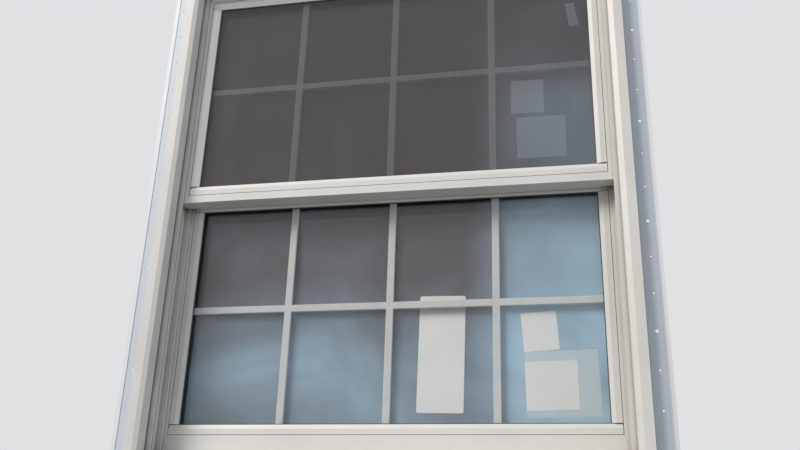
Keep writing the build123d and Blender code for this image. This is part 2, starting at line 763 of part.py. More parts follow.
def lock_lever(x):
    """The turning half of a cam lock: shaft, rimmed cam and a tapered lever."""
    shaft = Location((0, 0, (cam_low + shaft_end) / 2)) * Cylinder(shaft_r, cam_low - shaft_end)
    hub = Location((0, 0, cam_low + (cam_t + lever_t) / 2)) * Cylinder(lock_boss_r, cam_t + lever_t)
    cam = Location((0, 0, cam_low)) * extrude(sector(cam_r, cam_half_angle), amount=cam_t)
    rim_face = sector(cam_r, cam_half_angle) - Circle(cam_r - cam_rim)
    rim = Location((0, 0, cam_low)) * extrude(rim_face, amount=cam_t + cam_rim_h)
    arm_face = make_face(Polyline((0, -lever_w / 2), (lever_len, -lever_w / 3), (lever_len, lever_w / 3),
                                  (0, lever_w / 2), close=True))
    arm = Location((0, 0, cam_low + cam_t), (0, 0, 90)) * extrude(arm_face, amount=lever_t)
    tip = Location((0, lever_len, cam_low + cam_t + lever_t / 2)) * sided(lever_w / 2, lever_t,
                                                                        pulley_sides)
    whole = shaft + hub + cam + rim + arm + tip
    return Location((x, lock_y, lower_top), (0, 0, cam_rest_angle)) * whole


def keeper(x):
    """The strike on the upper sash: base, front wall, roof and a curved rim for the cam."""
    front = shelf_y - (sash_t - glaze_leg_y) + keeper_in
    base = block(x - keeper_half, x + keeper_half, front, shelf_y, ledge_z, ledge_z + keeper_t)
    front_wall = block(x - keeper_half, x + keeper_half, front, front + keeper_t, ledge_z,
                       ledge_z + keeper_h)
    roof = block(x - keeper_half, x + keeper_half, front, shelf_y + keeper_over,
                 ledge_z + keeper_h - keeper_t, ledge_z + keeper_h)
    ring = sector(keeper_rim_r, keeper_rim_angle) - Circle(keeper_rim_r - keeper_rim_t)
    rim = Location((x, lock_y, ledge_z + keeper_h - keeper_t - keeper_rim_low), (0, 0, -90)) * extrude(
        ring, amount=keeper_rim_low + keeper_t)
    made = base + front_wall + roof + rim
    for offset in (-keeper_screw_x, keeper_screw_x):
        spot = Location((x + offset, shelf_y - keeper_screw_in, ledge_z))
        made -= spot * sided(screw_r, 3 * keeper_t, hole_sides, hole=True)
    return made


for side, x in (("left", -lock_x), ("right", lock_x)):
    save(lock_base(x), f"lock_base_{side}")
    save(lock_lever(x), f"lock_lever_{side}")
save(group([keeper(-lock_x), keeper(lock_x)]), "lock_keepers")
lock_screws = []
keeper_screws = []
for side in (-lock_x, lock_x):
    for sign in (-1, 1):
        lock_screws.append(Location((side + sign * lock_screw_x, lock_y, lower_top + lock_plate_t))
                           * screw(screw_len))
        spot = Location((side + sign * keeper_screw_x, shelf_y - keeper_screw_in, ledge_z + keeper_t))
        keeper_screws.append(spot * screw(screw_len))
save(group(lock_screws), "lock_screws")
save(group(keeper_screws), "keeper_screws")

# Balance cords, their clips and screws, the travel stops, the bottom seal and the labels.
balance_top = shoe_h + balance_len
lower_cord = balance_cord(inner_slot_y, lower_bottom + balance_top, frame_h / 2 - lower_clip_down)
upper_cord = balance_cord(outer_slot_y, upper_bottom + balance_top, frame_h / 2 - upper_clip_down)
save(group(both(lower_cord)), "lower_cords")
save(group(both(upper_cord)), "upper_cords")
clips = []
clip_screws = []
for up, slot_y in clip_spots:
    clips += both(cord_clip(up, slot_y))
    spot = Location((-frame_w / 2 + wall + clip_t, slot_y, -frame_h / 2 + up + clip_screw_up), (0, 90, 0))
    clip_screws += both(spot * screw(clip_screw_len))
save(group(clips), "cord_clips")
save(group(clip_screws), "clip_screws")

stop_top = frame_h / 2 - face
stop_block = block(-frame_w / 2 + face, -frame_w / 2 + stop_block_face, lower_front + stop_block_in,
                   lower_front + sash_t - stop_block_in, stop_top - stop_h, stop_top)
save(group(both(stop_block)), "lower_sash_stops")

bulb_y = lower_front + mid_sash
bulb_half = sash_w / 2 - bulb_end
bulb = block(-bulb_half, bulb_half, bulb_y - bulb_w / 2, bulb_y + bulb_w / 2, lower_bottom - bulb_h,
             lower_bottom)
bulb = chamfer(bulb.edges().filter_by(Axis.X).group_by(Axis.Z)[0], bulb_cut)
save(bulb, "bottom_bulb_seal")
lower_sight = lower_bottom + bottom_rail_face + bead_w
upper_sight = upper_bottom + meeting_face + bead_w
lower_papers = labels(lower_front, lower_sight, lower_label_sizes)
lower_papers += labels(lower_front, lower_sight, lower_backing_sizes, label_t)
save(group(lower_papers), "lower_labels")
save(group(labels(upper_front, upper_sight, upper_label_sizes)), "upper_labels")
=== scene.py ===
"""Looks and setting for the double-hung sash window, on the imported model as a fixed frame.

Metres. Seen from outdoors +X is to the right, outdoors is towards -Y and +Z is up. The origin
is the centre of the frame in the plane of the nailing fins' back faces.
"""
import json
import logging
import math
from dataclasses import dataclass
from enum import Enum, StrEnum
from typing import Sequence

import bmesh
import bpy
from mathutils import Matrix, Vector


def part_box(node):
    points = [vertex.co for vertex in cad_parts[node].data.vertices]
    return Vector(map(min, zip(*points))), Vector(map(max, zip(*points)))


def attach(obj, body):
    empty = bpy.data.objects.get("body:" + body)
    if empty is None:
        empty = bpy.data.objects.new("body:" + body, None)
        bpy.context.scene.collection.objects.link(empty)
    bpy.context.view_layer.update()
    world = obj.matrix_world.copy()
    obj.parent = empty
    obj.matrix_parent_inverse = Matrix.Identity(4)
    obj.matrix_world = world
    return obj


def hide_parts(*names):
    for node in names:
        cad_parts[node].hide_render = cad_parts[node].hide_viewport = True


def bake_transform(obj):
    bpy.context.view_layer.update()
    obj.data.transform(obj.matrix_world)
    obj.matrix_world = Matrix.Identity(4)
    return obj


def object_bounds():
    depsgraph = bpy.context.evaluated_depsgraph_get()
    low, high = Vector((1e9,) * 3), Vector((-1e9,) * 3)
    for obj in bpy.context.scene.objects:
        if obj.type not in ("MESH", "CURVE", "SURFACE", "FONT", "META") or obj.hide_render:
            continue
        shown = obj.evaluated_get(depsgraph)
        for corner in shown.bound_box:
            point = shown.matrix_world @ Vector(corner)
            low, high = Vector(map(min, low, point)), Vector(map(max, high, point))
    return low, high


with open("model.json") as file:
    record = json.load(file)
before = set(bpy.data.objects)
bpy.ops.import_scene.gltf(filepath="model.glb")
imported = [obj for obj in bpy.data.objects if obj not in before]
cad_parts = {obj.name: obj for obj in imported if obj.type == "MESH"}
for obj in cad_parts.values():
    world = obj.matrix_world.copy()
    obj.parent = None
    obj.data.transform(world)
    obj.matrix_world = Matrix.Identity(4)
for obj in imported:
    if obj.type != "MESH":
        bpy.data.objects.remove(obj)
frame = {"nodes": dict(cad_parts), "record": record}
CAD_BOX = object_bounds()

LOG = logging.getLogger("sash_window")
MM = 0.001
SAME_POINT = 0.01 * MM

Colour = tuple[float, float, float]
Point = tuple[float, float, float]


class Sash(StrEnum):
    """The two sashes, by the word that begins the names of their nodes."""

    UPPER = "upper"
    LOWER = "lower"


class Run(Enum):
    """The way a member is extruded, as the factors that draw its fine die lines out."""

    UPRIGHT = (1.0, 1.0, 0.02)
    LEVEL = (0.02, 1.0, 1.0)


class Axis(Enum):
    """The axis that a group of screws lies along, by its place in a vector."""

    X = 0
    Z = 2


class Value:
    """A number that varies over a surface. Python operators on it add Math nodes."""

    def __init__(self, nodes: "Nodes", socket: bpy.types.NodeSocket) -> None:
        """Wrap one output socket of a node tree.

        Args:
            nodes: The tree that new nodes are added to.
            socket: The output socket that carries the number.
        """
        self.nodes = nodes
        self.socket = socket

    def math(self, operation: str, *others: "Value | float", clamp: bool = False) -> "Value":
        """Add one Math node with this value first.

        Args:
            operation: The node's operation.
            others: The values that follow this one.
            clamp: Whether the result is kept between 0 and 1.

        Returns:
            The node's result.
        """
        return self.nodes.math(operation, self, *others, clamp=clamp)

    def __add__(self, other: "Value | float") -> "Value":
        """Return this plus other."""
        return self.math("ADD", other)

    def __radd__(self, other: float) -> "Value":
        """Return other plus this."""
        return self.nodes.math("ADD", other, self)

    def __sub__(self, other: "Value | float") -> "Value":
        """Return this minus other."""
        return self.math("SUBTRACT", other)

    def __rsub__(self, other: float) -> "Value":
        """Return other minus this."""
        return self.nodes.math("SUBTRACT", other, self)

    def __mul__(self, other: "Value | float") -> "Value":
        """Return this times other."""
        return self.math("MULTIPLY", other)

    def __rmul__(self, other: float) -> "Value":
        """Return other times this."""
        return self.nodes.math("MULTIPLY", other, self)

    def clamped(self) -> "Value":
        """Return this, kept between 0 and 1."""
        return self.math("ADD", 0.0, clamp=True)

    def ramp(self, low: float, high: float) -> "Value":
        """Return 0 below low, 1 above high and a smooth step between them.

        Args:
            low: The value at which the step starts.
            high: The value at which the step ends.

        Returns:
            The step.
        """
        node = self.nodes.node("ShaderNodeMapRange", {"interpolation_type": "SMOOTHSTEP"},
                               {"Value": self, "From Min": low, "From Max": high})
        return Value(self.nodes, node.outputs["Result"])


class Nodes:
    """A node tree, built from Python expressions."""

    def __init__(self, owner: bpy.types.Material | bpy.types.World) -> None:
        """Empty the owner's node tree.

        Args:
            owner: The material or world that the tree belongs to.
        """
        owner.use_nodes = True
        self.tree = owner.node_tree
        self.tree.nodes.clear()

    def node(self, kind: str, settings: dict[str, object] | None = None,
             inputs: dict[str | int, object] | None = None) -> bpy.types.Node:
        """Add one node: its settings first, then the values or links of its sockets.

        Args:
            kind: The node's type.
            settings: Attributes to set.
            inputs: A number, colour, socket or Value for each named or numbered input.

        Returns:
            The new node.
        """
        made = self.tree.nodes.new(kind)
        for key, value in (settings or {}).items():
            setattr(made, key, value)
        for key, value in (inputs or {}).items():
            self.feed(made.inputs[key], value)
        return made

    def feed(self, socket: bpy.types.NodeSocket, value: object) -> None:
        """Link a socket or Value into an input, or set the input's own value.

        Args:
            socket: The input.
            value: What feeds it.
        """
        if isinstance(value, Value):
            self.tree.links.new(value.socket, socket)
        elif isinstance(value, bpy.types.NodeSocket):
            self.tree.links.new(value, socket)
        elif isinstance(value, tuple) and len(value) == 3 and len(socket.default_value) == 4:
            socket.default_value = (*value, 1.0)
        else:
            socket.default_value = value

    def math(self, operation: str, *values: "Value | float", clamp: bool = False) -> Value:
        """Add one Math node.

        Args:
            operation: The node's operation.
            values: Its inputs in order.
            clamp: Whether the result is kept between 0 and 1.

        Returns:
            The node's result.
        """
        node = self.node("ShaderNodeMath", {"operation": operation, "use_clamp": clamp},
                         dict(enumerate(values)))
        return Value(self, node.outputs["Value"])

    def seen(self) -> Value:
        """Tell the rays that see the stage directly, in a reflection or through glass.

        Returns:
            1 for those rays and 0 for the others.
        """
        rays = self.node("ShaderNodeLightPath")
        camera, glossy, through = (Value(self, rays.outputs[name]) for name in (
            "Is Camera Ray", "Is Glossy Ray", "Is Transmission Ray"))
        return camera.math("MAXIMUM", glossy).math("MAXIMUM", through)


class Shader(Nodes):
    """One material's node tree, with a Principled shader."""

    def __init__(self, name: str) -> None:
        """Start a material with only its output and a Principled shader.

        Args:
            name: The material's name.
        """
        self.material = bpy.data.materials.new(name)
        super().__init__(self.material)
        self.surface = self.node("ShaderNodeBsdfPrincipled")
        self.node("ShaderNodeOutputMaterial", inputs={"Surface": self.surface.outputs["BSDF"]})
        self.place = self.node("ShaderNodeTexCoord").outputs["Object"]

    def axis(self, letter: str) -> Value:
        """Return one coordinate of the surface point, in metres from the frame's origin."""
        node = self.node("ShaderNodeSeparateXYZ", inputs={"Vector": self.place})
        return Value(self, node.outputs[letter])

    def noise(self, scale: float, detail: float, roughness: float,
              stretch: Point = (1.0, 1.0, 1.0), distortion: float = 0.0) -> Value:
        """Return fractal noise between about 0 and 1.

        Args:
            scale: Noise cells to the metre.
            detail: Octaves.
            roughness: How strong the finer octaves are.
            stretch: A factor for each coordinate first, under 1 to draw the noise out.
            distortion: How much the noise is warped by itself.

        Returns:
            The noise's value.
        """
        drawn = self.node("ShaderNodeVectorMath", {"operation": "MULTIPLY"},
                          {0: self.place, 1: stretch})
        node = self.node("ShaderNodeTexNoise", inputs={
            "Vector": drawn.outputs["Vector"], "Scale": scale, "Detail": detail,
            "Roughness": roughness, "Distortion": distortion})
        return Value(self, node.outputs["Fac"])

    def mix(self, factor: "Value | float", first: object, second: object) -> bpy.types.NodeSocket:
        """Mix two colours.

        Args:
            factor: The share of the second colour.
            first: A colour or a socket.
            second: A colour or a socket.

        Returns:
            The mixed colour.
        """
        # The colour sockets have the same names as the others, so they go by their numbers.
        node = self.node("ShaderNodeMix", {"data_type": "RGBA"}, {0: factor, 6: first, 7: second})
        return node.outputs[2]

    def bump(self, height: Value, strength: float, distance: float) -> bpy.types.NodeSocket:
        """Return a normal bent by a height.

        Args:
            height: The height, from 0 to 1.
            strength: The share of the bump that is used.
            distance: The real height of 1, in metres.

        Returns:
            The normal.
        """
        node = self.node("ShaderNodeBump", inputs={
            "Strength": strength, "Distance": distance, "Height": height})
        return node.outputs["Normal"]

    def recess(self, reach: float) -> Value:
        """Return occlusion for painted shade: 1 deep in a corner or groove and 0 on an open face.

        Args:
            reach: How far the corner is felt, in metres.

        Returns:
            The painted shade of the corner.
        """
        node = self.node("ShaderNodeAmbientOcclusion", {"samples": 8}, {"Distance": reach})
        return 1.0 - Value(self, node.outputs["AO"])

    def dress(self, **inputs: object) -> bpy.types.Material:
        """Feed the Principled shader's sockets, named with underscores for spaces.

        Args:
            inputs: A value or link for each socket.

        Returns:
            The finished material.
        """
        for key, value in inputs.items():
            self.feed(self.surface.inputs[key.replace("_", " ")], value)
        return self.material


def put(name: str, data: bpy.types.ID) -> bpy.types.Object:
    """Put a mesh, lamp or camera into the scene as an object.

    Args:
        name: The object's name.
        data: What the object shows.

    Returns:
        The object.
    """
    piece = bpy.data.objects.new(name, data)
    bpy.context.scene.collection.objects.link(piece)
    return piece


def put_mesh(name: str, mesh: bmesh.types.BMesh,
             *finishes: bpy.types.Material) -> bpy.types.Object:
    """Put a finished bmesh into the scene as an object, and free the bmesh.

    Args:
        name: The name of the object and its mesh.
        mesh: The bmesh.
        finishes: The materials of the object's slots.

    Returns:
        The object.
    """
    data = bpy.data.meshes.new(name)
    mesh.to_mesh(data)
    mesh.free()
    for finish in finishes:
        data.materials.append(finish)
    return put(name, data)


def lathe(mesh: bmesh.types.BMesh, place: Matrix, outline: list[Sequence[float]], around: int,
          smooth: bool = False) -> list[list[bmesh.types.BMVert]]:
    """Turn an outline about a line and add it to a mesh, with its ends left open.

    Args:
        mesh: The mesh that it is added to.
        place: The line's place, along its Z.
        outline: The radius and height of each ring. Radius 0, at the end, makes a point.
        around: The number of vertices in a ring.
        smooth: Whether the faces are shaded smooth.

    Returns:
        The rings, in the outline's order.
    """
    rings = []
    for radius, height in outline:
        turns = [2 * math.pi * step / around for step in range(around if radius else 1)]
        rings.append([mesh.verts.new(place @ Vector((
            radius * math.cos(turn), radius * math.sin(turn), height))) for turn in turns])
    for upper, lower in zip(rings, rings[1:]):
        for step in range(around):
            after = (step + 1) % around
            below = [lower[step], lower[after]] if len(lower) > 1 else lower
            mesh.faces.new((upper[step], *below, upper[after])).smooth = smooth
    return rings


def solid_boxes(mesh: bmesh.types.BMesh) -> list[tuple[Vector, Vector]]:
    """Return the low and high corner of each separate solid, in the order of its vertices.

    Args:
        mesh: The mesh that holds the solids.

    Returns:
        The two corners of each solid.
    """
    seen: set[bmesh.types.BMVert] = set()
    boxes = []
    for start in mesh.verts:
        if start in seen:
            continue
        seen.add(start)
        points, waiting = [], [start]
        while waiting:
            vertex = waiting.pop()
            points.append(vertex.co)
            near = {edge.other_vert(vertex) for edge in vertex.link_edges} - seen
            seen |= near
            waiting.extend(near)
        by_axis = list(zip(*points))
        boxes.append((Vector([min(part) for part in by_axis]),
                      Vector([max(part) for part in by_axis])))
    return boxes


@dataclass(frozen=True)
class Label:
    """A paper label on an inner pane: its size, its centre and its turn in degrees.

    corner is the radius of its corners. behind is how far it lies behind the pane, for a
    backing sheet that lies on other labels. soft is the width of its mask's edge, which lies
    inside the label.
    """

    width: float
    height: float
    x: float
    z: float
    turn: float
    corner: float = 2 * MM
    behind: float = 0.0
    soft: float = 0.6 * MM
    long_steps: int = 12
    corner_steps: int = 5

    @property
    def backing(self) -> bool:
        """Return whether this is a backing sheet."""
        return self.behind > 0.0

    def mask(self, shader: Shader) -> Value:
        """Return 1 on the label and 0 off it, with its round corners.

        Args:
            shader: The tree that the mask is built in.

        Returns:
            The mask.
        """
        lean = math.radians(self.turn)
        right, up = shader.axis("X") - self.x, shader.axis("Z") - self.z
        across = (right * math.cos(lean) - up * math.sin(lean)).math("ABSOLUTE")
        along = (right * math.sin(lean) + up * math.cos(lean)).math("ABSOLUTE")
        past_x = (across - (self.width / 2 - self.corner)).math("MAXIMUM", 0.0)
        past_z = (along - (self.height / 2 - self.corner)).math("MAXIMUM", 0.0)
        past = (past_x * past_x + past_z * past_z).math("SQRT")
        return 1.0 - past.ramp(self.corner - self.soft, self.corner)

    def steps(self, side: float) -> list[float]:
        """Return the divisions along one side, closer together at the corners.

        Args:
            side: The side's length.

        Returns:
            The places of the divisions from the middle, from the low end to the high end.
        """
        inner = side / 2 - self.corner
        round_part = [self.corner * step / self.corner_steps
                      for step in range(self.corner_steps + 1)]
        low = [-side / 2 + part for part in round_part[:-1]]
        middle = [-inner + 2 * inner * step / self.long_steps for step in range(self.long_steps)]
        return low + middle + [inner + part for part in round_part]

    def rounded(self, x: float, z: float) -> tuple[float, float]:
        """Return a point of the sheet, drawn onto the arc where it lies past a round corner.

        Args:
            x: The point's distance right of the centre.
            z: The point's distance above the centre.

        Returns:
            The point's new place.
        """
        inner_x, inner_z = self.width / 2 - self.corner, self.height / 2 - self.corner
        over_x, over_z = abs(x) - inner_x, abs(z) - inner_z
        if over_x <= 0 or over_z <= 0:
            return x, z
        pull = min(1.0, self.corner / math.hypot(over_x, over_z))
        return (math.copysign(inner_x + over_x * pull, x),
                math.copysign(inner_z + over_z * pull, z))


SIGHT_RIGHT = 0.454
SIGHT_BOTTOM = {Sash.UPPER: 0.0315, Sash.LOWER: -0.5095}


def placed(sash: Sash, width: float, height: float, inward: float, up: float, turn: float,
           **more: float) -> Label:
    """Return a label from how far in and up its centre is from its sash's lower right corner."""
    return Label(width, height, SIGHT_RIGHT - inward, SIGHT_BOTTOM[sash] + up, turn, **more)


LABELS = {
    Sash.UPPER: (placed(Sash.UPPER, 0.075, 0.086, 0.1446, 0.190, 0.5),
                 placed(Sash.UPPER, 0.109, 0.1025, 0.1159, 0.0857, 0.0),
                 placed(Sash.UPPER, 0.0225, 0.0645, 0.0366, 0.4008, -8.0)),
    Sash.LOWER: (placed(Sash.LOWER, 0.100, 0.2525, 0.3416, 0.1517, 1.0, corner=5 * MM),
                 placed(Sash.LOWER, 0.0745, 0.084, 0.1341, 0.1942, -4.0),
                 placed(Sash.LOWER, 0.1075, 0.1015, 0.1131, 0.0803, -1.0),
                 placed(Sash.LOWER, 0.150, 0.1385, 0.0916, 0.0852, -1.0, behind=0.25 * MM)),
}


@dataclass(frozen=True)
class Vinyl:
    """Satin extruded vinyl: die lines, stains, painted shade in corners and a fine orange peel.

    fin_from_x and fin_from_z are where a nailing fin starts, and strip_width is the width of
    the paler strip along its edge, which is a painted highlight. The fin's tint is a cooler vinyl
    with a painted blue cast of skylight. The die lines run along the member. Specks and stains
    darken it at random, and painted shade darkens it in corners and, more broadly, in hollows.
    The shares say how much of a colour shows at most.
    """

    colour: Colour = (0.665, 0.645, 0.605)
    shade: Colour = (0.585, 0.56, 0.515)
    # The dark colour of the specks and stains, and of the painted shade in corners and hollows.
    grime_and_shade: Colour = (0.13, 0.11, 0.085)
    # Fin: cooler vinyl with a painted blue cast of skylight. Edge strip: a painted highlight.
    fin: Colour = (0.575, 0.62, 0.68)
    strip: Colour = (0.76, 0.775, 0.785)
    fin_from_x: float = 0.5285
    fin_from_z: float = 0.6045
    strip_width: float = 11 * MM
    # How far the painted shade reaches in corners and in hollows.
    corner_shade_reach: float = 14 * MM
    hollow_shade_reach: float = 60 * MM
    cloud_share: float = 0.55
    line_share: float = 0.10
    speck_share: float = 0.10
    stain_share: float = 0.16
    # How much painted shade shows in corners and in hollows.
    corner_shade_share: float = 0.60
    hollow_shade_share: float = 0.52
    # Scales the stains and the painted shade together.
    dirt_and_shade: float = 1.0
    roughness: float = 0.38
    peel: float = 0.06 * MM

    def with_fin(self, shader: Shader, colour: bpy.types.NodeSocket) -> bpy.types.NodeSocket:
        """Lay the nailing fin's cooler tint and its paler edge strip over a colour.

        Args:
            shader: The tree that the colour is built in.
            colour: The member's colour.

        Returns:
            The colour with the fin.
        """
        across = shader.axis("X").math("ABSOLUTE")
        along = shader.axis("Z").math("ABSOLUTE")
        edge_x, edge_z = CAD_BOX[1][0] - self.strip_width, CAD_BOX[1][2] - self.strip_width
        # Painted skylight: the fin's blue cast. Painted highlight: its paler edge strip.
        for tint, from_x, from_z in ((self.fin, self.fin_from_x, self.fin_from_z),
                                     (self.strip, edge_x, edge_z)):
            wide, high = across.ramp(from_x, from_x + MM), along.ramp(from_z, from_z + MM)
            colour = shader.mix(wide.math("MAXIMUM", high), colour, tint)
        return colour

    def material(self, name: str, run: Run, finned: bool) -> bpy.types.Material:
        """Build the finish for members that run one way.

        Args:
            name: The material's name.
            run: The way the die lines run.
            finned: Whether the member has a nailing fin.

        Returns:
            The material.
        """
        shader = Shader(name)
        lines = shader.noise(scale=900.0, detail=2.0, roughness=0.6, stretch=run.value)
        cloud = shader.noise(scale=7.0, detail=4.0, roughness=0.6)
        speck = shader.noise(scale=420.0, detail=2.0, roughness=0.5)
        stain = shader.noise(scale=28.0, detail=5.0, roughness=0.65, stretch=run.value,
                             distortion=0.4)
        # Painted shade: occlusion darkens the vinyl in tight corners and, more broadly, in
        # hollows.
        corner = shader.recess(self.corner_shade_reach).ramp(0.18, 0.90)
        hollow = shader.recess(self.hollow_shade_reach).ramp(0.35, 0.90)
        colour = shader.mix(cloud.ramp(0.35, 0.75) * self.cloud_share, self.colour, self.shade)
        if finned:
            colour = self.with_fin(shader, colour)
        colour = shader.mix(lines.ramp(0.42, 0.70) * self.line_share, colour, self.shade)
        specks = speck.ramp(0.64, 0.80) * self.speck_share
        stains = stain.ramp(0.52, 0.80) * self.stain_share
        # The painted shade joins the stains and specks in the dark colour.
        painted_shade = corner * self.corner_shade_share + hollow * self.hollow_shade_share
        colour = shader.mix(((painted_shade + stains) * self.dirt_and_shade + specks).clamped(), colour,
                            self.grime_and_shade)
        return shader.dress(
            Base_Color=colour, Roughness=self.roughness + lines * 0.10 + corner * 0.25,
            Normal=shader.bump(lines * 0.55 + speck * 0.45, strength=0.35, distance=self.peel),
            IOR=1.53, Specular_IOR_Level=0.45)


@dataclass(frozen=True)
class SkyReflectionFade:
    """Where a sash's panes fade from their painted shade to their glow, a painted sky reflection.

    across is the X, and down the Z, over which the fade runs to the right and to the foot. The
    at_ fields say how much glow the right, the foot and both together add. The cloud_ fields
    say how much of it drifts: everywhere, and more at the right and at the foot.
    """

    across: tuple[float, float]
    down: tuple[float, float]
    at_right: float
    at_foot: float
    at_both: float
    cloud: float
    cloud_right: float
    cloud_foot: float

    def mask(self, shader: Shader) -> Value:
        """Return how far the pane's tone is towards its glow, the painted sky reflection.

        Args:
            shader: The tree that the mask is built in.

        Returns:
            The mask, from 0 to 1.
        """
        right = shader.axis("X").ramp(*self.across)
        foot = 1.0 - shader.axis("Z").ramp(*self.down)
        drift = shader.noise(scale=3.1, detail=3.0, roughness=0.5, stretch=(1.0, 1.0, 1.3),
                             distortion=0.8) - 0.5
        steady = foot * self.at_foot + right * (self.at_right + foot * self.at_both)
        cloudy = self.cloud + foot * self.cloud_foot + right * self.cloud_right
        return (steady + drift * cloudy).clamped()


SKY_REFLECTION_FADES = {
    Sash.UPPER: SkyReflectionFade(across=(0.12, 0.40), down=(0.15, 0.45), at_right=0.10, at_foot=0.0,
                     at_both=0.48, cloud=0.2, cloud_right=0.8, cloud_foot=0.0),
    Sash.LOWER: SkyReflectionFade(across=(0.15, 0.30), down=(-0.42, -0.16), at_right=0.66, at_foot=0.40,
                     at_both=-0.10, cloud=0.4, cloud_right=0.5, cloud_foot=0.9),
}


@dataclass(frozen=True)
class Glass:
    """A pane: see-through, with painted shade, a painted reflection and a haze of dust on one
    face.

    An outer pane has them on its outdoor face and an inner one on its indoor face. film is how
    much they cover. An inner pane is clear at its labels, and in slits behind the flat bars, so
    that both show from indoors too. bar_rise is how far the level bar stands above the middle,
    and slit_rise how much higher its slit is.
    """

    sash: Sash
    inner: bool
    film: float
    shade: Colour
    glow: Colour
    haze: Colour = (0.36, 0.38, 0.39)
    haze_share: float = 0.10
    haze_film: float = 0.02
    bar_pitch: float = 0.231
    bar_rise: float = 8 * MM
    slit_half: float = 4 * MM
    slit_rise: float = 1 * MM
    slit_soft: float = 1.5 * MM
    slit_clear: float = 0.9
    face_soft: float = 0.5 * MM

    @property
    def name(self) -> str:
        """Return the words that begin the names of the pane's node and its material."""
        return f"{self.sash}_{'inner' if self.inner else 'outer'}"

    def slits(self, shader: Shader) -> Value:
        """Return 1 on narrow slits behind the flat bars.

        Args:
            shader: The tree that the mask is built in.

        Returns:
            The mask.
        """
        low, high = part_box(f"{self.sash}_grille")
        level = (low.z + high.z) / 2 + self.bar_rise + self.slit_rise
        right = shader.axis("X").math("ABSOLUTE")
        beside = (right - self.bar_pitch).math("ABSOLUTE")
        above = (shader.axis("Z") - level).math("ABSOLUTE")
        nearest = right.math("MINIMUM", beside).math("MINIMUM", above)
        return 1.0 - nearest.ramp(self.slit_half - self.slit_soft, self.slit_half)

    def material(self) -> bpy.types.Material:
        """Build the pane's finish.

        Returns:
            The material.
        """
        shader = Shader(f"{self.name}_glass")
        # Painted shade for the unlit room behind the pane, fading into a painted reflection of
        # the sky.
        colour = shader.mix(SKY_REFLECTION_FADES[self.sash].mask(shader), self.shade, self.glow)
        smear = shader.noise(scale=7.0, detail=2.0, roughness=0.5, stretch=(1.0, 1.0, 0.3),
                             distortion=0.8).ramp(0.45, 0.85)
        colour = shader.mix(smear * self.haze_share, colour, self.haze)
        alpha = self.film + smear * self.haze_film
        low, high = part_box(f"{self.name}_pane")
        middle = (low.y + high.y) / 2
        indoors = shader.axis("Y").ramp(middle - self.face_soft, middle + self.face_soft)
        if self.inner:
            alpha = alpha * indoors
            for label in LABELS[self.sash]:
                alpha = alpha * (1.0 - label.mask(shader))
            alpha = alpha * (1.0 - self.slits(shader) * self.slit_clear)
        else:
            alpha = alpha * (1.0 - indoors)
        return shader.dress(Base_Color=colour, Alpha=alpha.clamped(), Roughness=0.03, IOR=1.52)


@dataclass(frozen=True)
class Plain:
    """A finish with one colour, another that drifts through it and a fine grain.

    grain is its number of cells to the metre and relief its height.
    """

    name: str
    colour: Colour
    other: Colour
    roughness: float
    grain: float
    relief: float
    metallic: float = 0.0
    stretch: Point = (1.0, 1.0, 1.0)
    # How far the painted shade in corners reaches, and how much of it shows.
    corner_shade_reach: float = 4 * MM
    corner_shade_share: float = 0.3
    grain_share: float = 0.25
    darker: float = 0.45

    def material(self) -> bpy.types.Material:
        """Build the finish.

        Returns:
            The material.
        """
        shader = Shader(self.name)
        cloud = shader.noise(scale=30.0, detail=4.0, roughness=0.6)
        grain = shader.noise(self.grain, detail=3.0, roughness=0.6, stretch=self.stretch)
        # Painted shade: occlusion darkens the finish in its corners, towards the grain's dark
        # colour.
        corner = shader.recess(self.corner_shade_reach).ramp(0.35, 1.0)
        colour = shader.mix(cloud.ramp(0.3, 0.8), self.colour, self.other)
        dark = tuple(self.darker * part for part in self.colour)
        share = grain.ramp(0.5, 0.8) * self.grain_share + corner * self.corner_shade_share
        return shader.dress(Base_Color=shader.mix(share, colour, dark), Metallic=self.metallic,
                            Roughness=(self.roughness + grain * 0.12).clamped(),
                            Normal=shader.bump(grain, strength=0.5, distance=self.relief))


